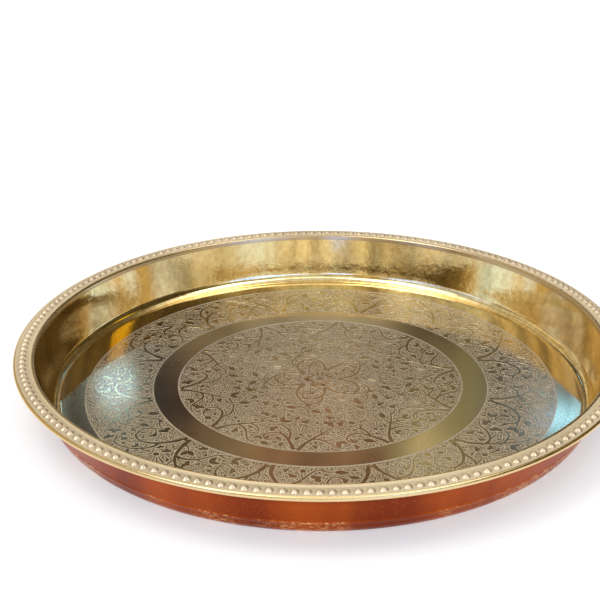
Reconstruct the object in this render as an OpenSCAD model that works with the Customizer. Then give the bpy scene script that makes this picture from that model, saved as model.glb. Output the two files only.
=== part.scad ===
// Round brass serving tray with a copper outer shell, a beaded flange and a wired, rolled edge.
// The origin is the centre of the underside, and +Z points up out of the well. Millimetres.

/* [Tray] */
// Diameter over the rolled edge
tray_d = 355.6; // [330:0.1:380]
// Depth of the floor's upper face below the centre of the rolled edge
well_depth = 30.35; // [26:0.05:36]
// Lean of the wall away from upright, in degrees
wall_lean = 13; // [8:1:18]
// Inside radius of the curve that turns the floor into the wall
corner_r = 6.5; // [5:0.5:8]

/* [Sheet metal] */
// Thickness of the brass sheet
brass_t = 0.8; // [0.7:0.05:0.85]
// Thickness of the copper sheet
copper_t = 0.5; // [0.4:0.05:0.5]

/* [Rim] */
// Outside radius of the rolled edge
roll_r = 1.3; // [1.3:0.1:1.6]
// Distance from the tray's outermost edge to the crest of the lip
rim_w = 10.8; // [10:0.1:12]
// Radius of the rounded lip at the top of the wall
lip_r = 1.2; // [1.1:0.1:1.4]
// Height of the lip's crest above the flange
lip_step = 0.2; // [0.1:0.1:0.3]
// How far below level the roll's inner edge stops, in degrees
roll_gap = 12; // [10:1:20]
// Play between the wire and the sheet rolled round it
wire_play = 0.05; // [0.02:0.01:0.1]

/* [Beads] */
// Number of beads round the flange
bead_count = 188; // [150:1:200]
// Radius of one bead where it meets the flange
bead_r = 2.4; // [1.8:0.1:2.5]
// Height of one bead above the flange
bead_h = 1.2; // [0.8:0.1:1.5]
// Distance from the tray's outermost edge to the middle of the beads
bead_inset = 5.1; // [4.8:0.1:6.5]

/* [Etched floor] */
// Radius of the etched medallion in the middle
medallion_r = 85.4; // [70:0.1:90]
// Inside radius of the etched ring
ring_in_r = 99.8; // [95:0.1:105]
// Outside radius of the etched ring
ring_out_r = 140.1; // [120:0.1:142]
// Depth of the etching
etch_depth = 0.15; // [0.05:0.05:0.3]

/* [Hidden] */
$fn = 180;
ARC_STEPS = 10;

// Heights and centres that follow from the dimensions above.
floor_z = brass_t + copper_t;
roll_c = [tray_d / 2 - roll_r, floor_z + well_depth];
flange_z = roll_c[1] + roll_r;
lip_c = [tray_d / 2 - rim_w, flange_z + lip_step - lip_r];

// The wall's inner face is the line that leaves the lip at lip_r and meets the corner at corner_r.
wall_normal = [-cos(wall_lean), sin(wall_lean)];
wall_offset = lip_c * wall_normal + lip_r;
corner_z = floor_z + corner_r;
corner_c = [(sin(wall_lean) * corner_z - wall_offset - corner_r) / cos(wall_lean), corner_z];

// Points along an arc round centre c in the profile plane, from angle a to angle b.
function arc(c, r, a, b) =
    [for (i = [0:ARC_STEPS]) let (t = a + (b - a) * i / ARC_STEPS) c + r * [cos(t), sin(t)]];

// Angle at which a circle of radius r reaches the height rise above its centre.
function angle_at(rise, r) = asin(rise / r);

// Radius of the wall's face at height z, for the face lying behind the inner face by t.
function wall_r(z, t) = (sin(wall_lean) * z - wall_offset + t) / cos(wall_lean);

// The floor's upper face, with both etched zones sunk by etch_depth.
function floor_path() =
    let (low = floor_z - etch_depth)
    [[0, low], [medallion_r, low], [medallion_r, floor_z], [ring_in_r, floor_z],
     [ring_in_r, low], [ring_out_r, low], [ring_out_r, floor_z]];

// The brass sheet in section: up the inside, over the lip, round the roll, and back underneath.
function brass_section() =
    let (under_z = flange_z - brass_t, inner_r = roll_r - brass_t, under_lip_r = lip_r - brass_t)
    concat(
        floor_path(),
        arc(corner_c, corner_r, -90, -wall_lean),
        arc(lip_c, lip_r, 180 - wall_lean, angle_at(flange_z - lip_c[1], lip_r)),
        arc(roll_c, roll_r, 90, -180 + roll_gap),
        arc(roll_c, inner_r, -180 + roll_gap, 90),
        arc(lip_c, under_lip_r, angle_at(under_z - lip_c[1], under_lip_r), 180 - wall_lean),
        arc(corner_c, corner_r + brass_t, -wall_lean, -90),
        [[0, floor_z - brass_t]]
    );

// The copper sheet in section: it nests under the brass, and its flange ends inside the roll.
function copper_section() =
    let (top_z = flange_z - brass_t, low_z = top_z - copper_t, edge_r = roll_c[0] - roll_r + brass_t)
    concat(
        [[0, floor_z - brass_t]],
        arc(corner_c, corner_r + brass_t, -90, -wall_lean),
        [[wall_r(top_z, brass_t), top_z], [edge_r, top_z], [edge_r, low_z]],
        [[wall_r(low_z, floor_z), low_z]],
        arc(corner_c, corner_r + floor_z, -wall_lean, -90),
        [[0, 0]]
    );

// Inner pan: floor, wall, lip, flange and rolled edge pressed from one brass sheet.
module brass_pan() {
    color("goldenrod")
    rotate_extrude()
    polygon(brass_section());
}

// One bead: the cap of a ball, standing on the flange.
module bead() {
    ball_r = (bead_r * bead_r + bead_h * bead_h) / (2 * bead_h);
    intersection() {
        translate([0, 0, bead_h - ball_r])
        sphere(r = ball_r, $fn = 32);
        cylinder(r = bead_r, h = bead_h, $fn = 32);
    }
}

// The row of beads round the flange.
module bead_border() {
    color("khaki")
    for (i = [0:bead_count - 1])
        rotate([0, 0, i * 360 / bead_count])
        translate([tray_d / 2 - bead_inset, 0, flange_z])
        bead();
}

// Wire that stiffens the edge, with the brass sheet rolled round it.
module rim_wire() {
    color("silver")
    rotate_extrude()
    translate(roll_c)
    circle(r = roll_r - brass_t - wire_play, $fn = 32);
}

// Outer shell: bottom, wall and the flange that the roll grips.
module copper_shell() {
    color("sienna")
    rotate_extrude()
    polygon(copper_section());
}

brass_pan();
bead_border();
rim_wire();
copper_shell();
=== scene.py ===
"""Round brass serving tray: a brass pan with an etched floor and a beaded, rolled edge, in a copper shell."""
import math
import random
from collections import defaultdict

import bpy
import numpy as np
from mathutils import Matrix, Vector


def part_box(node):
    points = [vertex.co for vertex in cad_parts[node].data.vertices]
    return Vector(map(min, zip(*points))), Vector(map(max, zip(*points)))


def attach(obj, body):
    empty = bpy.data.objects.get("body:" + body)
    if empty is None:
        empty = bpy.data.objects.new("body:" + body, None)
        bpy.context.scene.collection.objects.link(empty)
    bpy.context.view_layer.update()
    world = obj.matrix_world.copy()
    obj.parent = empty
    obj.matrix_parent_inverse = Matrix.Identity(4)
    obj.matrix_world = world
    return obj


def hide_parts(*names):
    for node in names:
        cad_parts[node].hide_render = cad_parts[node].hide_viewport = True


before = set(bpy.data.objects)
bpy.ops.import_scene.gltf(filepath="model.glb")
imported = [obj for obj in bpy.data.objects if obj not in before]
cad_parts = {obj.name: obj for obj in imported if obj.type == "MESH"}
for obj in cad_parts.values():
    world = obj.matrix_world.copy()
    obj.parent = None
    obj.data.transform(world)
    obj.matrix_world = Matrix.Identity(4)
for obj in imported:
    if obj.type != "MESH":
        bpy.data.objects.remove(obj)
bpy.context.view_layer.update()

MM = 0.001
TAU = 2 * math.pi

# Sizes that the frame gives, in millimetres.
PAN_LOW, PAN_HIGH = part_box("brass_pan")
BEADS_LOW, BEADS_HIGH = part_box("bead_border")
TRAY_R = min(PAN_HIGH.x, PAN_HIGH.y) / MM
COPPER_T = PAN_LOW.z / MM
FLANGE_Z = BEADS_LOW.z / MM
BEAD_H = (BEADS_HIGH.z - BEADS_LOW.z) / MM

# Sheet and rim section, in millimetres; the rim is measured from the tray's outermost edge. The copper
# lies a hair under the brass, so that no two faces share a place.
BRASS_T = 0.8
NEST_GAP = 0.03
FLOOR_Z = COPPER_T + BRASS_T
ROLL_R = 1.3
RIM_W = 10.8
LIP_R = 1.2
LIP_STEP = 0.2
ROLL_GAP = 12
ROLL_C = (TRAY_R - ROLL_R, FLANGE_Z - ROLL_R)
LIP_C = (TRAY_R - RIM_W, FLANGE_Z + LIP_STEP - LIP_R)

# The wall and the corner where it meets the floor.
WALL_LEAN = 13
WALL_SIN = math.sin(math.radians(WALL_LEAN))
WALL_COS = math.cos(math.radians(WALL_LEAN))
CORNER_R = 6.5
WALL_OFFSET = LIP_R - LIP_C[0] * WALL_COS + LIP_C[1] * WALL_SIN
CORNER_Z = FLOOR_Z + CORNER_R
CORNER_C = ((WALL_SIN * CORNER_Z - WALL_OFFSET - CORNER_R) / WALL_COS, CORNER_Z)

# The shallow groove in the flange: its distance outside the lip's centre, half its width, and its depth.
GROOVE_OUT = 2.0
GROOVE_HALF_W = 0.25
GROOVE_DEPTH = 0.12

# The copper shell's soft ridge: its height, how far its middle lies above the top of the corner, its
# spread, and how far above the corner it has died away.
RIDGE_H = 0.35
RIDGE_RISE = 0.6
RIDGE_SPREAD = 0.55
RIDGE_REACH = 2.4

# Beads. The foot flares past the radius, and runs a little way down into the flange.
BEAD_COUNT = 188
BEAD_R = 2.4
BEAD_FLARE = 0.15
BEAD_INSET = 5.1
BEAD_SINK = 0.3

# Etched zones of the floor.
MEDALLION_R = 85.4
RING_IN_R = 99.8
RING_OUT_R = 140.1
ETCH_DEPTH = 0.15
ETCH_LINE_W = 0.8
ETCH_SLOPE = 0.1
GROUND_Z = FLOOR_Z - ETCH_DEPTH

# Raised ornament: the pale outline's width and height above the ground, and how deep each block starts.
OUTLINE_W = 0.5
OUTLINE_H = 0.045
BLOCK_SINK = 0.1

# How far the top edges of the outlines and of the motifs are eased.
OUTLINE_EASE = 0.01
MOTIF_EASE = 0.04

# Fineness of the turned bodies: steps round them, along an arc and round the roll, points up the wall,
# and the widest step across the floor in millimetres.
SEGMENTS = 600
ARC_STEPS = 14
ROLL_STEPS = 32
WALL_POINTS = 14
FLOOR_STEP = 6

# Brightness of the room's ceiling, which lights the scene, and of its dimmer patch overhead.
CEILING = 2.1
ZENITH = 0.75

# Large soft parts of the room: azimuth from +Y towards +X, elevation, full radius and outer radius, in
# degrees, and colour. Each is laid over the ones before it.
ROOM_SPOTS = [
    (-108, 26, 6, 17, (0.95, 1.2, 2.2)),
    (-134, 23, 8, 18, (0.95, 1.25, 2.6)),
    (160, 20, 10, 30, (0.80, 0.88, 0.92)),
    (-112, 46, 14, 28, (0.74, 0.80, 0.86)),
    (118, 45, 12, 28, (0.60, 0.54, 0.36)),
    (180, 49, 8, 20, (0.84, 0.88, 0.80)),
    (180, 6, 12, 26, (0.90, 0.81, 0.60)),
    (150, 22, 7, 15, (1.2, 1.9, 4.5)),
    (40, 28, 18, 38, (0.14, 0.11, 0.06)),
    (88, 28, 22, 40, (0.10, 0.078, 0.04)),
    (0, 28, 14, 20, (0.20, 0.165, 0.115)),
    (0, 24, 2, 5, (0.36, 0.32, 0.25)),
    (0, 31, 2, 5, (0.36, 0.23, 0.165)),
    (-7.5, 28, 1, 3, (0.23, 0.145, 0.125)),
    (-14, 28, 4, 7, (0.065, 0.06, 0.065)),
    (8, 27.5, 1, 3, (0.36, 0.33, 0.20)),
    (15, 28, 3, 6, (0.09, 0.14, 0.24)),
    (6.2, 30.6, 0.6, 2.4, (0.60, 0.55, 0.36)),
    (0, 45, 6, 10, (2.6, 2.2, 1.7)),
]

# Small bright parts of the room, in the same terms.
ROOM_LAMPS = [
    (-11.8, 26.1, 0.4, 1.4, (0.45, 0.47, 0.47)),
    (-11.6, 27.2, 0.75, 1.2, (2.1, 3.5, 4.6)),
    (12.3, 27.4, 0.4, 1.3, (0.42, 0.48, 0.52)),
    (13.9, 26.7, 0.3, 1.0, (0.26, 0.32, 0.38)),
    (12.6, 28.7, 0.4, 0.9, (0.9, 1.25, 1.8)),
    (13.7, 28.6, 0.5, 0.9, (0.9, 2.0, 3.4)),
    (62, 41, 3, 6, (1.0, 0.66, 0.05)),
    (168, 18.5, 3, 8, (1.2, 1.7, 4.0)),
    (-172, 15, 4, 9, (1.1, 1.6, 3.8)),
]


# ---------------------------------------------------------------- materials

def put(tree, kind, inputs=None, **settings):
    """Adds a node. An input is a value, or the socket that feeds it."""
    made = tree.nodes.new(kind)
    for key, value in settings.items():
        setattr(made, key, value)
    for key, value in (inputs or {}).items():
        if isinstance(value, bpy.types.NodeSocket):
            tree.links.new(value, made.inputs[key])
        else:
            made.inputs[key].default_value = value
    return made


def new_material(name, **values):
    """A material with one Principled shader, and that shader's plain values."""
    material = bpy.data.materials.new(name)
    material.use_nodes = True
    shader = material.node_tree.nodes["Principled BSDF"]
    for key, value in values.items():
        shader.inputs[key.replace("_", " ")].default_value = value
    return material, material.node_tree, shader


def object_point(tree):
    return put(tree, "ShaderNodeTexCoord").outputs["Object"]


def math_node(tree, operation, first, second=0.0, third=0.0):
    inputs = {0: first, 1: second, 2: third}
    return put(tree, "ShaderNodeMath", inputs, operation=operation).outputs[0]


def noise(tree, vector, scale, detail=3.0, roughness=0.55):
    inputs = {"Vector": vector, "Scale": scale, "Detail": detail, "Roughness": roughness}
    return put(tree, "ShaderNodeTexNoise", inputs).outputs["Fac"]


def between(tree, value, low, high, to_low=0.0, to_high=1.0):
    """value from low to high, mapped smoothly to to_low to to_high."""
    inputs = {"Value": value, 1: low, 2: high, 3: to_low, 4: to_high}
    return put(tree, "ShaderNodeMapRange", inputs, interpolation_type="SMOOTHSTEP").outputs[0]


def blend_colours(tree, factor, first, second, blend_type="MIX"):
    inputs = {0: factor, 6: first, 7: second}
    return put(tree, "ShaderNodeMix", inputs, data_type="RGBA", blend_type=blend_type).outputs[2]


def round_point(tree, around, along):
    """The surface point wrapped round the tray's axis: fine round it by around, and by along in height."""
    point = object_point(tree)
    parts = put(tree, "ShaderNodeSeparateXYZ", {0: point})
    flat = put(tree, "ShaderNodeCombineXYZ", {"X": parts.outputs["X"], "Y": parts.outputs["Y"]})
    unit = put(tree, "ShaderNodeVectorMath", {0: flat.outputs[0]}, operation="NORMALIZE")
    spread = put(tree, "ShaderNodeVectorMath", {0: unit.outputs[0], "Scale": around}, operation="SCALE")
    height = math_node(tree, "MULTIPLY", parts.outputs["Z"], along)
    lift = put(tree, "ShaderNodeCombineXYZ", {"Z": height})
    return put(tree, "ShaderNodeVectorMath", {0: spread.outputs[0], 1: lift.outputs[0]}).outputs[0]


def matte_share(tree):
    """1 where a bitten surface is seen from above, falling to 0 at a low angle, where it turns glossy."""
    facing = put(tree, "ShaderNodeLayerWeight", {"Blend": 0.5}).outputs["Facing"]
    return between(tree, facing, 0.46, 0.60, 1.0, 0.0)


def bump(tree, shader, height, strength, distance):
    inputs = {"Height": height, "Strength": strength, "Distance": distance}
    tree.links.new(put(tree, "ShaderNodeBump", inputs).outputs[0], shader.inputs["Normal"])


def polished_brass(name, clean, dull, roughness, upright_share, metallic=1.0):
    """Polished sheet: hairlines, slow changes of tone and, down the wall, faint upright streaks."""
    material, tree, shader = new_material(name, Metallic=metallic, Coat_Weight=0.3, Coat_Roughness=0.05)
    point = object_point(tree)
    clouds = noise(tree, point, 16.0, 4.0, 0.5)
    upright = noise(tree, round_point(tree, 1.0, 5.0), 40.0, 4.0, 0.6)
    level = math_node(tree, "MULTIPLY", clouds, 1 - upright_share)
    tone = math_node(tree, "MULTIPLY_ADD", upright, upright_share, level)
    colour = blend_colours(tree, between(tree, tone, 0.36, 0.64, 0.3, 1.0), dull, clean)
    specks = between(tree, noise(tree, point, 420.0, 2.0), 0.72, 0.78, 0.0, 0.5)
    tree.links.new(blend_colours(tree, specks, colour, dull), shader.inputs["Base Color"])
    hairs = noise(tree, point, 700.0, 4.0, 0.7)
    gloss = between(tree, math_node(tree, "ADD", hairs, clouds), 0.7, 1.3, roughness * 0.7, roughness * 1.5)
    tree.links.new(gloss, shader.inputs["Roughness"])
    wave = math_node(tree, "MULTIPLY_ADD", hairs, 0.03, math_node(tree, "MULTIPLY", upright, upright_share))
    bump(tree, shader, wave, 0.06 + 0.14 * upright_share, 0.0006)
    return material


def etched_ground():
    """Bitten ground: small polished islands left standing in a mesh of pale matte lines."""
    material, tree, shader = new_material("etched_ground", Coat_Weight=0.8, Coat_Roughness=0.06)
    point = object_point(tree)
    stir = put(tree, "ShaderNodeTexNoise", {"Vector": point, "Scale": 420.0, "Detail": 2.0}).outputs["Color"]
    middle = (0.5, 0.5, 0.5)
    centred = put(tree, "ShaderNodeVectorMath", {0: stir, 1: middle}, operation="SUBTRACT").outputs[0]
    small = put(tree, "ShaderNodeVectorMath", {0: centred, "Scale": 0.0022}, operation="SCALE").outputs[0]
    wandering = put(tree, "ShaderNodeVectorMath", {0: point, 1: small}).outputs[0]
    cells = put(
        tree,
        "ShaderNodeTexVoronoi",
        {"Vector": wandering, "Scale": 700.0, "Randomness": 0.95},
        feature="DISTANCE_TO_EDGE",
    ).outputs["Distance"]
    island = between(tree, cells, 0.05, 0.11)
    bitten = math_node(tree, "SUBTRACT", 1.0, island)
    clouds = noise(tree, point, 30.0, 4.0)
    line = blend_colours(tree, clouds, (0.46, 0.38, 0.26, 1), (0.60, 0.51, 0.36, 1))
    top = blend_colours(tree, clouds, (0.46, 0.34, 0.185, 1), (0.60, 0.47, 0.27, 1))
    tree.links.new(blend_colours(tree, island, line, top), shader.inputs["Base Color"])
    matte = math_node(tree, "MULTIPLY", bitten, matte_share(tree))
    tree.links.new(between(tree, matte, 0.0, 1.0, 0.14, 0.5), shader.inputs["Roughness"])
    tree.links.new(between(tree, bitten, 0.0, 1.0, 1.0, 0.6), shader.inputs["Metallic"])
    bump(tree, shader, island, 0.35, 0.0001)
    return material


def motif_brass():
    """Tops of the raised ornament, polished like the plain floor."""
    material, tree, shader = new_material("motif_brass", Metallic=1.0, Coat_Weight=0.3, Coat_Roughness=0.05)
    point = object_point(tree)
    clouds = noise(tree, point, 26.0, 4.0)
    tone = between(tree, clouds, 0.35, 0.65)
    colour = blend_colours(tree, tone, (0.50, 0.37, 0.20, 1), (0.68, 0.54, 0.31, 1))
    tree.links.new(colour, shader.inputs["Base Color"])
    grain = noise(tree, point, 900.0, 2.0)
    tree.links.new(between(tree, grain, 0.3, 0.7, 0.07, 0.16), shader.inputs["Roughness"])
    bump(tree, shader, grain, 0.08, 0.00005)
    return material


def etched_line():
    """The pale matte line bitten round each motif and round each zone."""
    material, tree, shader = new_material("etched_line", Metallic=0.6, Coat_Weight=0.8, Coat_Roughness=0.08)
    point = object_point(tree)
    grain = noise(tree, point, 1600.0, 3.0)
    clouds = noise(tree, point, 30.0, 4.0)
    mottle = math_node(tree, "MULTIPLY_ADD", grain, 0.5, math_node(tree, "MULTIPLY", clouds, 0.5))
    tone = between(tree, mottle, 0.35, 0.65)
    colour = blend_colours(tree, tone, (0.47, 0.39, 0.27, 1), (0.61, 0.52, 0.38, 1))
    tree.links.new(colour, shader.inputs["Base Color"])
    extra = between(tree, grain, 0.3, 0.7, 0.24, 0.36)
    rough = math_node(tree, "MULTIPLY_ADD", extra, matte_share(tree), 0.14)
    tree.links.new(rough, shader.inputs["Roughness"])
    bump(tree, shader, grain, 0.3, 0.0001)
    return material


def copper_sheet():
    """Copper with fine upright brush marks, a brown patina, painted shade under the roll, and gold where
    the corner and the ridge rub, partly wear and partly painted highlight."""
    # Heights where the gold (partly wear, partly painted highlight) is full and ends, and where the painted
    # shade under the roll starts and is full.
    wear_highlight_full_z, wear_highlight_end_z = 0.004, 0.0105
    shade_start_z, shade_full_z = 0.018, 0.029
    material, tree, shader = new_material("copper_sheet", Metallic=1.0, Coat_Weight=0.06, Coat_Roughness=0.1)
    point = object_point(tree)
    brush = noise(tree, round_point(tree, 1.0, 5.0), 150.0, 5.0, 0.75)
    bands = noise(tree, round_point(tree, 1.0, 1.0), 3.2, 3.0, 0.5)
    clouds = noise(tree, point, 14.0, 5.0, 0.6)
    band = between(tree, bands, 0.38, 0.62)
    red = blend_colours(tree, band, (0.25, 0.036, 0.006, 1), (0.46, 0.085, 0.010, 1))
    red = blend_colours(tree, between(tree, clouds, 0.45, 0.75, 0.0, 0.3), red, (0.16, 0.034, 0.010, 1))
    red = blend_colours(tree, between(tree, brush, 0.52, 0.75, 0.0, 0.55), red, (0.56, 0.15, 0.045, 1))
    height = put(tree, "ShaderNodeSeparateXYZ", {0: point}).outputs["Z"]
    # Gold near the floor: partly wear, partly a painted highlight that lightens the bottom corner.
    near_floor = between(tree, height, wear_highlight_full_z, wear_highlight_end_z, 1.0, 0.0)
    patchy = between(tree, noise(tree, round_point(tree, 1.0, 1.0), 3.4, 2.0), 0.47, 0.60)
    scuffs_and_glints = between(tree, noise(tree, round_point(tree, 1.0, 14.0), 40.0, 6.0, 0.75), 0.48, 0.62)
    wear_and_highlight_patches = math_node(tree, "MULTIPLY", patchy, scuffs_and_glints)
    wear_and_painted_highlight = math_node(tree, "MULTIPLY", near_floor, wear_and_highlight_patches)
    colour = blend_colours(tree, math_node(tree, "MULTIPLY", wear_and_painted_highlight, 0.85), red, (0.88, 0.52, 0.20, 1))
    # Gold along the ridge: partly wear, partly a painted highlight that makes the ridge show.
    off_ridge = math_node(tree, "ABSOLUTE", math_node(tree, "SUBTRACT", height, (CORNER_Z + RIDGE_RISE) * MM))
    ridge_wear_and_painted_highlight = math_node(tree, "MULTIPLY", between(tree, off_ridge, 0.0002, 0.0008, 0.9, 0.0), wear_and_highlight_patches)
    colour = blend_colours(tree, ridge_wear_and_painted_highlight, colour, (0.90, 0.52, 0.22, 1))
    # Painted shade: the copper is darkened towards the roll, where the roll's shadow falls.
    painted_shade_under_roll = between(tree, height, shade_start_z, shade_full_z, 0.0, 0.85)
    colour = blend_colours(tree, painted_shade_under_roll, colour, (0.10, 0.016, 0.006, 1))
    tree.links.new(colour, shader.inputs["Base Color"])
    gloss = between(tree, math_node(tree, "ADD", brush, clouds), 0.7, 1.4, 0.2, 0.42)
    tree.links.new(gloss, shader.inputs["Roughness"])
    bump(tree, shader, math_node(tree, "MULTIPLY_ADD", brush, 0.6, clouds), 0.18, 0.0004)
    return material


def drawn_wire():
    material, tree, shader = new_material("drawn_wire", Metallic=1.0)
    lines = noise(tree, object_point(tree), 900.0, 4.0)
    colour = blend_colours(tree, lines, (0.36, 0.36, 0.37, 1), (0.62, 0.62, 0.60, 1))
    tree.links.new(colour, shader.inputs["Base Color"])
    tree.links.new(between(tree, lines, 0.3, 0.7, 0.25, 0.5), shader.inputs["Roughness"])
    return material


def studio_floor():
    material, tree, shader = new_material("studio_floor", Roughness=0.9, Emission_Strength=0.5)
    shader.inputs["Emission Color"].default_value = (1, 1, 0.995, 1)
    shade = noise(tree, object_point(tree), 1.5, 2.0)
    colour = blend_colours(tree, shade, (0.60, 0.60, 0.595, 1), (0.62, 0.62, 0.615, 1))
    tree.links.new(colour, shader.inputs["Base Color"])
    return material


# Polished brass: clean colour, dull colour, roughness, and the share of upright streaks in its tone.
GOLD = polished_brass("wall_brass", (0.90, 0.73, 0.38, 1), (0.68, 0.48, 0.20, 1), 0.08, 0.7)
MIRROR = polished_brass("floor_brass", (0.80, 0.67, 0.40, 1), (0.64, 0.49, 0.28, 1), 0.08, 0.0)
FLANGE = polished_brass("flange_brass", (0.68, 0.56, 0.35, 1), (0.60, 0.48, 0.29, 1), 0.42, 0.1, metallic=0.3)
ROLL = polished_brass("roll_brass", (0.78, 0.58, 0.28, 1), (0.70, 0.48, 0.21, 1), 0.2, 0.1)
LIP = polished_brass("lip_brass", (0.60, 0.46, 0.26, 1), (0.51, 0.37, 0.19, 1), 0.2, 0.1)
BEAD = polished_brass("bead_brass", (0.63, 0.50, 0.33, 1), (0.50, 0.39, 0.26, 1), 0.26, 0.1, metallic=0.55)
GROUND = etched_ground()
MOTIF = motif_brass()
LINE = etched_line()
COPPER = copper_sheet()


# ---------------------------------------------------------------- meshes

def arc(centre, radius, start, end, steps=ARC_STEPS):
    """Points along an arc of a section, from angle start to angle end in degrees."""
    angles = np.radians(np.linspace(start, end, steps + 1))
    return [(centre[0] + radius * math.cos(a), centre[1] + radius * math.sin(a)) for a in angles]


def angle_at(rise, radius):
    return math.degrees(math.asin(rise / radius))


def wall_r(z, behind):
    """Radius of the wall at height z, for the face that lies behind the inner face by that much."""
    return (WALL_SIN * z - WALL_OFFSET + behind) / WALL_COS


def wander(angle, z):
    """How far the hand-worked wall strays outwards, in millimetres. It is nothing at the floor and lip."""
    share = (z - FLOOR_Z) / (LIP_C[1] - FLOOR_Z)
    weight = np.sin(np.pi * np.clip(share, 0, 1))
    waves = [(3, 0.10, 0.4), (5, 0.08, 2.1), (11, 0.045, 1.0), (19, 0.02, 5.0), (31, 0.012, 3.3)]
    return weight * sum(size * np.sin(count * angle + phase) for count, size, phase in waves)


def make_object(name, points, faces, materials, indices=None, sharp=35):
    """A mesh object from points in millimetres."""
    mesh = bpy.data.meshes.new(name)
    mesh.from_pydata((np.asarray(points) * MM).tolist(), [], faces)
    for material in materials:
        mesh.materials.append(material)
    if indices is not None:
        mesh.polygons.foreach_set("material_index", indices)
    mesh.polygons.foreach_set("use_smooth", [True] * len(mesh.polygons))
    mesh.set_sharp_from_angle(angle=math.radians(sharp))
    mesh.update()
    made = bpy.data.objects.new(name, mesh)
    bpy.context.scene.collection.objects.link(made)
    return made


def lathe(name, stretches, materials):
    """A closed body turned about Z. Each stretch of its section is (points, material number)."""
    section = [(p, number) for points, number in stretches for p in points]
    section = [s for i, s in enumerate(section) if i == 0 or math.dist(s[0], section[i - 1][0]) > 1e-6]
    radii = np.array([p[0] for p, _ in section[1:-1]])[:, None]
    heights = np.array([p[1] for p, _ in section[1:-1]])[:, None]
    angles = (np.arange(SEGMENTS) * TAU / SEGMENTS)[None, :]
    radii = radii + wander(angles, heights)
    rings = np.stack([radii * np.cos(angles), radii * np.sin(angles), heights + 0 * angles], axis=-1)
    points = rings.reshape(-1, 3).tolist() + [(0, 0, section[0][0][1]), (0, 0, section[-1][0][1])]
    top, bottom = len(points) - 2, len(points) - 1
    faces = []
    indices = []
    for j in range(SEGMENTS):
        after = (j + 1) % SEGMENTS
        faces.append((top, j, after))
        indices.append(section[1][1])
    for i in range(len(radii) - 1):
        start = i * SEGMENTS
        for j in range(SEGMENTS):
            after = (j + 1) % SEGMENTS
            faces.append((start + j, start + SEGMENTS + j, start + SEGMENTS + after, start + after))
            indices.append(section[i + 2][1])
    last = (len(radii) - 1) * SEGMENTS
    for j in range(SEGMENTS):
        after = (j + 1) % SEGMENTS
        faces.append((last + j, bottom, last + after))
        indices.append(section[-1][1])
    return make_object(name, points, faces, materials, indices)


def flat_run(start, end, z):
    """Points across a flat stretch of floor."""
    count = max(1, round(abs(end - start) / FLOOR_STEP))
    return [(r, z) for r in np.linspace(start, end, count + 1)]


def brass_pan():
    """The pan in one sheet: etched floor, wall, lip, flange, and the edge rolled over the wire."""
    ground, gold, line, flange, roll, mirror, lip = range(7)
    under_z = FLANGE_Z - BRASS_T
    inner_r = ROLL_R - BRASS_T
    under_lip_r = LIP_R - BRASS_T
    groove_r = LIP_C[0] + GROOVE_OUT
    groove = [
        (groove_r - GROOVE_HALF_W, FLANGE_Z),
        (groove_r, FLANGE_Z - GROOVE_DEPTH),
        (groove_r + GROOVE_HALF_W, FLANGE_Z),
    ]
    stretches = [
        (flat_run(0, MEDALLION_R - ETCH_LINE_W, GROUND_Z), ground),
        ([(MEDALLION_R, GROUND_Z)], line),
        ([(MEDALLION_R + ETCH_SLOPE, FLOOR_Z)], line),
        (flat_run(MEDALLION_R + ETCH_SLOPE, RING_IN_R - ETCH_SLOPE, FLOOR_Z), mirror),
        ([(RING_IN_R, GROUND_Z), (RING_IN_R + ETCH_LINE_W, GROUND_Z)], line),
        (flat_run(RING_IN_R + ETCH_LINE_W, RING_OUT_R - ETCH_LINE_W, GROUND_Z), ground),
        ([(RING_OUT_R, GROUND_Z), (RING_OUT_R + ETCH_SLOPE, FLOOR_Z)], line),
        (flat_run(RING_OUT_R + ETCH_SLOPE, CORNER_C[0], FLOOR_Z), mirror),
        (arc(CORNER_C, CORNER_R, -90, -WALL_LEAN), gold),
        ([(wall_r(z, 0), z) for z in np.linspace(CORNER_Z, LIP_C[1], WALL_POINTS)[1:-1]], gold),
        (arc(LIP_C, LIP_R, 180 - WALL_LEAN, angle_at(FLANGE_Z - LIP_C[1], LIP_R)), lip),
        (groove + [(ROLL_C[0], FLANGE_Z)], flange),
        (arc(ROLL_C, ROLL_R, 90, -180 + ROLL_GAP, ROLL_STEPS), roll),
        (arc(ROLL_C, inner_r, -180 + ROLL_GAP, 90), roll),
        (arc(LIP_C, under_lip_r, angle_at(under_z - LIP_C[1], under_lip_r), 180 - WALL_LEAN), flange),
        ([(wall_r(z, BRASS_T), z) for z in np.linspace(LIP_C[1], CORNER_Z, WALL_POINTS)[1:-1]], gold),
        (arc(CORNER_C, CORNER_R + BRASS_T, -WALL_LEAN, -90), gold),
        ([(0, FLOOR_Z - BRASS_T)], gold),
    ]
    pan = lathe("inner_pan", stretches, [GROUND, GOLD, LINE, FLANGE, ROLL, MIRROR, LIP])
    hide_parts("brass_pan")
    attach(pan, "root")


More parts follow.
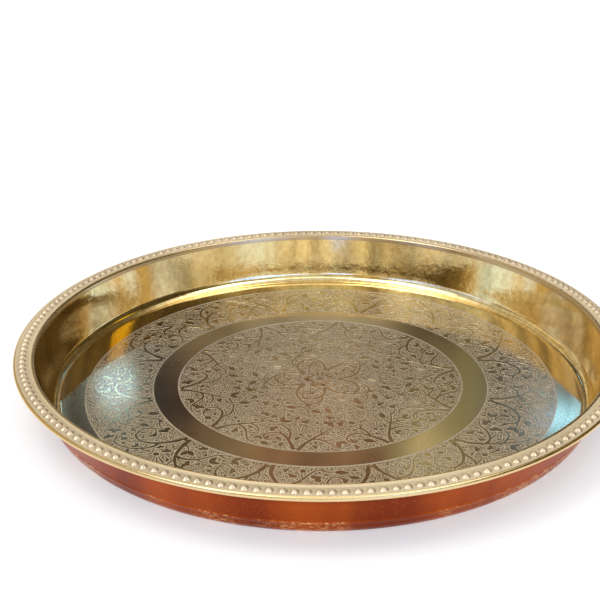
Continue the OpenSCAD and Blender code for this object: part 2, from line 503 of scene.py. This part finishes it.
def copper_shell():
    """The shell round the pan, its flange run into the roll, with a soft ridge above the bottom corner."""
    inner = BRASS_T + NEST_GAP
    outer = BRASS_T + COPPER_T
    top_z = FLANGE_Z - inner
    low_z = FLANGE_Z - outer
    edge_r = TRAY_R - 2 * ROLL_R + BRASS_T + NEST_GAP
    ridge_z = CORNER_Z + RIDGE_RISE
    ridge_top_z = CORNER_Z + RIDGE_REACH
    ridge = [
        (wall_r(z, outer) + RIDGE_H * math.exp(-(((z - ridge_z) / RIDGE_SPREAD) ** 2)), z)
        for z in np.linspace(ridge_top_z, CORNER_Z, 9)
    ]
    stretches = [
        ([(0, FLOOR_Z - inner)], 0),
        (arc(CORNER_C, CORNER_R + inner, -90, -WALL_LEAN), 0),
        ([(wall_r(z, inner), z) for z in np.linspace(CORNER_Z, top_z, WALL_POINTS)[1:]], 0),
        ([(edge_r, top_z), (edge_r, low_z)], 0),
        ([(wall_r(z, outer), z) for z in np.linspace(low_z, ridge_top_z, WALL_POINTS)[:-1]], 0),
        (ridge, 0),
        (arc(CORNER_C, CORNER_R + outer, -WALL_LEAN, -90), 0),
        (flat_run(CORNER_C[0], 0, 0), 0),
    ]
    shell = lathe("outer_shell", stretches, [COPPER])
    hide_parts("copper_shell")
    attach(shell, "root")


def bead_border():
    """Beads pressed up round the flange, no two quite alike, each with a flared foot."""
    draw = random.Random(7)
    around, up = 28, 8
    dome = 1.25
    points = []
    faces = []
    for bead in range(BEAD_COUNT):
        angle = (bead + draw.uniform(-0.05, 0.05)) * TAU / BEAD_COUNT
        radius = (BEAD_R + BEAD_FLARE) * draw.uniform(0.95, 1.0)
        height = BEAD_H * draw.uniform(0.86, 0.97)
        centre_r = TRAY_R - BEAD_INSET + draw.uniform(-0.08, 0.08)
        start = len(points)
        section = [(radius * k / up, height * (1 - (k / up) ** 2) ** dome) for k in range(1, up + 1)]
        section.append((radius, -BEAD_SINK))
        for r, z in section:
            for j in range(around):
                a = angle + j * TAU / around
                points.append((
                    centre_r * math.cos(angle) + r * math.cos(a),
                    centre_r * math.sin(angle) + r * math.sin(a),
                    FLANGE_Z + z,
                ))
        crown = len(points)
        points.append((centre_r * math.cos(angle), centre_r * math.sin(angle), FLANGE_Z + height))
        for j in range(around):
            after = (j + 1) % around
            faces.append((crown, start + j, start + after))
            for k in range(up):
                low = start + k * around
                faces.append((low + j, low + around + j, low + around + after, low + after))
        last = start + up * around
        faces.append(tuple(last + j for j in reversed(range(around))))
    beads = make_object("pressed_beads", points, faces, [BEAD], sharp=60)
    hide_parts("bead_border")
    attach(beads, "root")


def rim_wire():
    """The wire keeps its CAD shape, and takes the finish of drawn wire."""
    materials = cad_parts["rim_wire"].data.materials
    materials.clear()
    materials.append(drawn_wire())


# ---------------------------------------------------------------- ornament

def placed(points, at, heading):
    """Points of a shape that is drawn along +X, turned to heading and moved to at."""
    c, s = math.cos(heading), math.sin(heading)
    return [(at[0] + x * c - y * s, at[1] + x * s + y * c) for x, y in points]


def step_from(at, heading, distance):
    return (at[0] + distance * math.cos(heading), at[1] + distance * math.sin(heading))


def leaf_outline(length, width, bend=0.0, teeth=0):
    """A pointed leaf from the origin along +X, its edge cut into teeth if any are asked for."""
    steps = 12
    sides = ([], [])
    for i in range(steps + 1):
        t = i / steps
        half = 0.5 * width * math.sin(math.pi * t) ** 0.8 * (1.2 - 0.5 * t)
        if teeth:
            half *= 0.75 + 0.45 * ((t * teeth) % 1)
        middle = bend * length * t * t
        sides[0].append((t * length, middle - half))
        sides[1].append((t * length, middle + half))
    return sides[0] + sides[1][-2:0:-1]


def oval_outline(length, width, steps=10):
    """An oval that touches the origin and runs along +X."""
    turns = [TAU * i / steps for i in range(steps)]
    return [(length / 2 * (1 - math.cos(a)), -width / 2 * math.sin(a)) for a in turns]


def smooth_path(points, step=1.2):
    """Points about step apart on the smooth curve through the given ones."""
    ends = [points[0]] + list(points) + [points[-1]]
    path = []
    for a, b, c, d in zip(ends, ends[1:], ends[2:], ends[3:]):
        count = max(2, round(math.dist(b, c) / step))
        for i in range(count):
            t = i / count
            path.append(tuple(
                0.5 * (2 * q + (r - p) * t + (2 * p - 5 * q + 4 * r - s) * t**2
                       + (3 * q - p - 3 * r + s) * t**3)
                for p, q, r, s in zip(a, b, c, d)
            ))
    path.append(tuple(points[-1]))
    return path


def grown(outline, distance):
    """The outline moved outwards by distance."""
    at = np.array(outline, float)
    before, after = np.roll(at, 1, axis=0), np.roll(at, -1, axis=0)
    along = after - before
    normal = np.stack([along[:, 1], -along[:, 0]], axis=1)
    normal /= np.maximum(np.linalg.norm(normal, axis=1, keepdims=True), 1e-9)
    area = np.sum(at[:, 0] * after[:, 1] - after[:, 0] * at[:, 1])
    return (at + normal * distance * (1 if area > 0 else -1)).tolist()


class Ornament:
    """Flat shapes for one etched zone, and the discs that they cover, so that later shapes keep clear."""

    CELL = 6.0
    CLEAR = 0.35

    def __init__(self, inner_r, outer_r, seed):
        self.inner_r = inner_r
        self.outer_r = outer_r
        self.draw = random.Random(seed)
        self.outlines = []
        self.discs = defaultdict(list)

    def cover(self, at, radius):
        self.discs[(at[0] // self.CELL, at[1] // self.CELL)].append((at[0], at[1], radius))

    def is_free(self, at, radius):
        if not self.inner_r + radius < math.hypot(*at) < self.outer_r - radius:
            return False
        column, row = at[0] // self.CELL, at[1] // self.CELL
        for i in (-1, 0, 1):
            for j in (-1, 0, 1):
                for x, y, r in self.discs.get((column + i, row + j), ()):
                    if (at[0] - x) ** 2 + (at[1] - y) ** 2 < (radius + r) ** 2:
                        return False
        return True

    def ribbon(self, path, start_w, end_w):
        """The outline of a strip along the path."""
        sides = ([], [])
        for i, at in enumerate(path):
            before, after = path[max(0, i - 1)], path[min(len(path) - 1, i + 1)]
            heading = math.atan2(after[1] - before[1], after[0] - before[0])
            half = 0.5 * (start_w + (end_w - start_w) * i / (len(path) - 1))
            sides[0].append(step_from(at, heading - math.pi / 2, half))
            sides[1].append(step_from(at, heading + math.pi / 2, half))
        return sides[0] + sides[1][::-1]

    def stem(self, points, start_w, end_w):
        """A stem through the points that tapers from start_w to end_w. Returns its path."""
        path = smooth_path(points)
        self.outlines.append(self.ribbon(path, start_w, end_w))
        for i, at in enumerate(path):
            self.cover(at, 0.5 * (start_w + (end_w - start_w) * i / (len(path) - 1)) + self.CLEAR)
        return path

    def shape(self, points, at, heading):
        self.outlines.append(placed(points, at, heading))

    def leaf(self, at, heading, length, width, bend=0.0, teeth=0):
        self.shape(leaf_outline(length, width, bend, teeth), at, heading)
        for share in (0.2, 0.5, 0.8):
            middle = placed([(share * length, bend * length * share**2)], at, heading)[0]
            self.cover(middle, 0.45 * width + 0.2)

    def dot(self, at, radius):
        self.shape(oval_outline(2 * radius, 2 * radius), (at[0] - radius, at[1]), 0)
        self.cover(at, radius + self.CLEAR)

    def trefoil(self, at, heading, size):
        """Three round petals, seen from the stalk at at."""
        heart = step_from(at, heading, 0.45 * size)
        for turn in (-1.25, 0, 1.25):
            self.shape(oval_outline(0.62 * size, 0.5 * size), heart, heading + turn)
        self.cover(heart, 0.62 * size + 0.2)

    def daisy(self, at, size, petals):
        """A flower of narrow petals round a button."""
        self.dot(at, 0.26 * size)
        for k in range(petals):
            turn = k * TAU / petals
            petal = oval_outline(0.55 * size, 3.4 * size / petals, 8)
            self.shape(petal, step_from(at, turn, 0.43 * size), turn)
        self.cover(at, size + 0.3)

    def ring_flower(self, at, size):
        """A dot inside an open ring."""
        self.dot(at, 0.3 * size)
        start = self.draw.uniform(0, TAU)
        turns = [start + k * (TAU - 0.5) / 8 for k in range(9)]
        self.stem([step_from(at, a, 0.8 * size) for a in turns], 0.55, 0.55)

    def fan(self, at, heading, size, ribs=9):
        """A shell: ribs that spread from at, under a scalloped arch."""
        for k in range(ribs):
            turn = heading + (k / (ribs - 1) - 0.5) * 2.6
            rib = [step_from(at, turn, reach * size) for reach in (0.3, 0.55, 0.8)]
            self.outlines.append(self.ribbon(rib, 0.05 * size, 0.09 * size))
            self.dot(step_from(at, turn, 0.93 * size), 0.06 * size)
        self.dot(at, 0.14 * size)
        for reach in (0.15, 0.45, 0.75):
            self.cover(step_from(at, heading, reach * size), (0.25 + 0.4 * reach) * size)
        for turn in (-0.8, -0.4, 0.4, 0.8):
            self.cover(step_from(at, heading + turn, 0.75 * size), 0.3 * size)

    def head(self, at, heading, size):
        """What a shoot ends in."""
        kind = self.draw.choice(("leaf", "toothed", "bud", "trefoil", "trefoil", "pair"))
        if kind == "leaf":
            self.leaf(at, heading, size * 2.2, size * 1.15, self.draw.uniform(-0.2, 0.2))
        elif kind == "toothed":
            self.leaf(at, heading, size * 2.3, size * 1.4, self.draw.uniform(-0.2, 0.2), teeth=4)
        elif kind == "bud":
            self.dot(step_from(at, heading, 0.6 * size), 0.6 * size)
        elif kind == "trefoil":
            self.trefoil(at, heading, size * 1.9)
        else:
            for turn in (-0.6, 0.6):
                self.leaf(at, heading + turn, size * 1.9, size)

    def shoots(self, path, spacing, reach, size, depth):
        """Shoots on alternate sides of a stem, wherever there is room; each may bear smaller ones."""
        side = self.draw.choice((-1, 1))
        for i in range(2, len(path) - 1, spacing):
            heading = math.atan2(path[i + 1][1] - path[i][1], path[i + 1][0] - path[i][0])
            for way in (side, -side):
                out = heading + way * self.draw.uniform(0.6, 1.0)
                length = reach * self.draw.uniform(0.75, 1.2)
                curl = -way * self.draw.uniform(0.3, 1.0)
                middle = step_from(path[i], out, 0.55 * length)
                tip = step_from(middle, out + curl, 0.45 * length)
                crown = step_from(tip, out + 1.5 * curl, 0.9 * size)
                halfway = step_from(middle, out + curl, 0.1 * length)
                if self.is_free(crown, 0.95 * size) and self.is_free(tip, 0.5) and self.is_free(halfway, 0.5):
                    shoot = self.stem([path[i], middle, tip], 0.35 + 0.3 * depth, 0.6)
                    self.head(tip, out + 1.5 * curl, size)
                    if depth > 1:
                        self.shoots(shoot, spacing, 0.55 * reach, 0.8 * size, depth - 1)
                    side = -way
                    break

    def scatter(self, tries, size):
        """Loose flowers, leaves and dots in what room is left."""
        for _ in range(tries):
            reach = math.sqrt(self.draw.uniform(self.inner_r**2, self.outer_r**2))
            at = step_from((0, 0), self.draw.uniform(0, TAU), reach)
            if not self.is_free(at, size):
                continue
            heading = self.draw.uniform(0, TAU)
            if size > 1.7:
                kind = self.draw.choice(("ring", "trefoil", "trefoil", "trefoil", "daisy"))
                if kind == "ring":
                    self.ring_flower(at, 0.9 * size)
                elif kind == "trefoil":
                    self.trefoil(step_from(at, heading, -0.7 * size), heading, 1.5 * size)
                else:
                    self.daisy(at, 0.95 * size, 7)
            elif size > 0.9:
                self.leaf(step_from(at, heading, -size), heading, 2 * size, 1.1 * size, 0.15)
            else:
                self.dot(at, 0.75 * size)


def vine(zone, angle, base_r, way, scale):
    """Two stems that part like a V where they leave the border of a zone, and branch. way is 1 for
    outwards and -1 for inwards. Returns their paths."""
    stems = [
        ([(-1.8, 1.6), (-3.4, 8), (-8, 16), (-15, 22), (-22.5, 22), (-26.5, 16), (-23.5, 10.5),
          (-18.5, 12)], 2.5),
        ([(1.8, 1.6), (3.6, 9), (9, 18), (15.5, 25), (22, 31), (28.5, 37)], 2.5),
        ([(-8, 16), (-8.5, 24), (-13.5, 31), (-22, 34.5), (-29, 31)], 1.7),
        ([(9, 18), (15.5, 17.5), (21, 13), (27, 5), (33, 2.5)], 1.8),
        ([(15.5, 25), (23.5, 24), (28.5, 18.5)], 1.6),
    ]
    middle_r = base_r + way * 18 * scale

    def zone_point(u, v):
        return step_from((0, 0), angle + u * scale / middle_r, base_r + way * v * scale)

    heading = angle if way > 0 else angle + math.pi
    zone.fan(zone_point(0, 24), heading, 12.5 * scale)
    zone.fan(zone_point(0, 3.5), heading, 7.5 * scale, ribs=7)
    zone.trefoil(zone_point(-20.5, 14.5), heading + math.pi / 2, 4.6 * scale)
    paths = []
    for points, width in stems:
        shifted = [(u + zone.draw.uniform(-0.5, 0.5), v + zone.draw.uniform(-0.4, 0.4)) for u, v in points]
        course = [zone_point(u, v) for u, v in shifted]
        paths.append(zone.stem(course, width * math.sqrt(scale), 0.8))
    return paths


def fill(zone, paths):
    """Shoots off every stem, smaller and smaller, and then loose motifs."""
    for reach, size, depth in ((8.0, 3.4, 3), (5.0, 2.9, 2), (3.4, 2.3, 2), (2.4, 1.7, 1)):
        for path in paths:
            zone.shoots(path, 2, reach, size, depth)
    for size, tries in ((3.2, 3000), (2.5, 5000), (1.9, 8000), (1.3, 10000), (0.85, 12000)):
        zone.scatter(tries, size)
    return zone


def ring_ornament():
    """Twelve vines round the ring, which grow outwards and meet their neighbours."""
    zone = Ornament(RING_IN_R + ETCH_LINE_W, RING_OUT_R - ETCH_LINE_W, 11)
    paths = []
    for repeat in range(12):
        paths += vine(zone, (repeat + 0.5) * TAU / 12, RING_IN_R, 1, 1)
    return fill(zone, paths)


def medallion_ornament():
    """Ten vines that grow inwards from the border, and five that grow outwards from a rosette."""
    zone = Ornament(0, MEDALLION_R - ETCH_LINE_W, 23)
    zone.daisy((0, 0), 9.5, 14)
    paths = []
    for repeat in range(10):
        paths += vine(zone, (repeat + 0.25) * TAU / 10, MEDALLION_R, -1, 0.74)
    for repeat in range(5):
        paths += vine(zone, repeat * TAU / 5, 10, 1, 0.7)
    return fill(zone, paths)


def blocks(name, outlines, high, ease, material):
    """A closed low block on each outline, up to the height high, its top edge eased by ease. Their heights
    differ by a hair, so that no two tops lie in one plane."""
    hair, levels = 0.0012, 16
    low = GROUND_Z - BLOCK_SINK
    points = []
    faces = []
    for k, outline in enumerate(outlines):
        top = high - hair * (k % levels)
        area = sum(a[0] * b[1] - b[0] * a[1] for a, b in zip(outline, outline[1:] + outline[:1]))
        ring = outline if area > 0 else outline[::-1]
        count = len(ring)
        start = len(points)
        points += [(x, y, low) for x, y in ring]
        points += [(x, y, top - ease) for x, y in ring]
        points += [(x, y, top) for x, y in grown(ring, -ease)]
        faces.append(tuple(start + j for j in reversed(range(count))))
        faces.append(tuple(start + 2 * count + j for j in range(count)))
        for level in (0, 1):
            base = start + level * count
            for j in range(count):
                after = (j + 1) % count
                faces.append((base + j, base + after, base + count + after, base + count + j))
    made = make_object(name, points, faces, [material], sharp=30)
    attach(made, "root")


def floor_ornament():
    """The raised ornament of both zones, each shape in its own pale outline."""
    for name, zone in (("ring", ring_ornament()), ("medallion", medallion_ornament())):
        wide = [grown(outline, OUTLINE_W) for outline in zone.outlines]
        blocks(name + "_outlines", wide, GROUND_Z + OUTLINE_H, OUTLINE_EASE, LINE)
        blocks(name + "_motifs", zone.outlines, FLOOR_Z, MOTIF_EASE, MOTIF)


# ---------------------------------------------------------------- studio

def softbox(name, at, towards, size, watts, colour):
    """A soft rectangular lamp that no camera sees, though the metal may reflect it."""
    lamp = bpy.data.lights.new(name, "AREA")
    lamp.shape = "RECTANGLE"
    lamp.size, lamp.size_y = size
    lamp.energy = watts
    lamp.color = colour
    made = bpy.data.objects.new(name, lamp)
    made.location = at
    made.rotation_euler = (Vector(towards) - Vector(at)).to_track_quat("-Z", "Y").to_euler()
    made.visible_camera = False
    bpy.context.scene.collection.objects.link(made)


def spot(tree, direction, azimuth, elevation, inner, outer):
    """1 within inner degrees of a direction, and 0 beyond outer. Azimuth runs from +Y towards +X."""
    turn, rise = math.radians(azimuth), math.radians(elevation)
    towards = (math.cos(rise) * math.sin(turn), math.cos(rise) * math.cos(turn), math.sin(rise))
    dot = put(tree, "ShaderNodeVectorMath", {0: direction, 1: towards}, operation="DOT_PRODUCT")
    return between(tree, dot.outputs["Value"], math.cos(math.radians(outer)), math.cos(math.radians(inner)))


def room():
    """What the metal reflects: a warm room, dim ahead of the camera, with cool windows behind it, and a
    bright ceiling with a dimmer patch overhead. It is pale below the horizon, like the floor."""
    world = bpy.data.worlds.new("room")
    bpy.context.scene.world = world
    world.use_nodes = True
    tree = world.node_tree
    direction = put(tree, "ShaderNodeTexCoord").outputs["Generated"]
    height = put(tree, "ShaderNodeSeparateXYZ", {0: direction}).outputs["Z"]
    flatter = {0: direction, 1: (1, 1, 0.3)}
    squashed = put(tree, "ShaderNodeVectorMath", flatter, operation="MULTIPLY").outputs[0]
    streaks = noise(tree, squashed, 7.0, 5.0, 0.65)
    patches = noise(tree, squashed, 2.6, 2.0)
    tone = between(tree, patches, 0.4, 0.6)
    colour = blend_colours(tree, tone, (0.60, 0.48, 0.25, 1), (0.74, 0.67, 0.52, 1))
    for azimuth, elevation, inner, outer, tint in ROOM_SPOTS:
        weight = spot(tree, direction, azimuth, elevation, inner, outer)
        colour = blend_colours(tree, weight, colour, (*tint, 1))
    shade = between(tree, streaks, 0.38, 0.60, 0.5, 1.2)
    grey = put(tree, "ShaderNodeCombineXYZ", {"X": shade, "Y": shade, "Z": shade}).outputs[0]
    colour = blend_colours(tree, 1.0, colour, grey, "MULTIPLY")
    colour = blend_colours(tree, between(tree, height, 0.78, 0.93), colour, (CEILING, CEILING, CEILING, 1))
    colour = blend_colours(tree, between(tree, height, 0.93, 0.975), colour, (ZENITH, ZENITH, ZENITH, 1))
    colour = blend_colours(tree, between(tree, height, 0.02, 0.08), (0.96, 0.96, 0.95, 1), colour)
    for azimuth, elevation, inner, outer, tint in ROOM_LAMPS:
        weight = spot(tree, direction, azimuth, elevation, inner, outer)
        colour = blend_colours(tree, weight, colour, (*tint, 1))
    tree.links.new(colour, tree.nodes["Background"].inputs["Color"])


def studio():
    """A pale floor that lies a hair below the tray, the room, and two soft lamps."""
    half, hair = 8, 0.0002
    corners = [(-half, -half, 0), (half, -half, 0), (half, half, 0), (-half, half, 0)]
    ground = make_object("studio_ground", np.array(corners) / MM, [(0, 1, 2, 3)], [studio_floor()])
    ground.location.z = -hair
    room()
    middle = (0, 0, 0)
    softbox("key_left", (-1.3, -0.55, 3.4), middle, (1.6, 1.6), 34, (1.0, 0.97, 0.92))
    softbox("fill_right", (1.4, -0.5, 3.4), middle, (1.4, 1.4), 14, (0.92, 0.96, 1.0))


def camera():
    """The camera looks a little left of the tray and above it, from 25 degrees up."""
    elevation, distance, aim_z = 24.98, 0.6657, 0.0312
    pan_left, tilt_up = 1.018, 1.737
    lens = bpy.data.cameras.new("camera")
    lens.sensor_width = 36
    lens.lens = 67.2
    made = bpy.data.objects.new("camera", lens)
    turn = (
        Matrix.Rotation(math.radians(90 - elevation), 4, "X")
        @ Matrix.Rotation(math.radians(pan_left), 4, "Y")
        @ Matrix.Rotation(math.radians(tilt_up), 4, "X")
    )
    rise = math.radians(elevation)
    place = Vector((0, -distance * math.cos(rise), distance * math.sin(rise) + aim_z))
    made.matrix_world = Matrix.Translation(place) @ turn
    bpy.context.scene.collection.objects.link(made)
    bpy.context.scene.camera = made


bpy.context.scene.view_settings.view_transform = "Standard"
camera()
studio()
brass_pan()
copper_shell()
bead_border()
floor_ornament()
rim_wire()
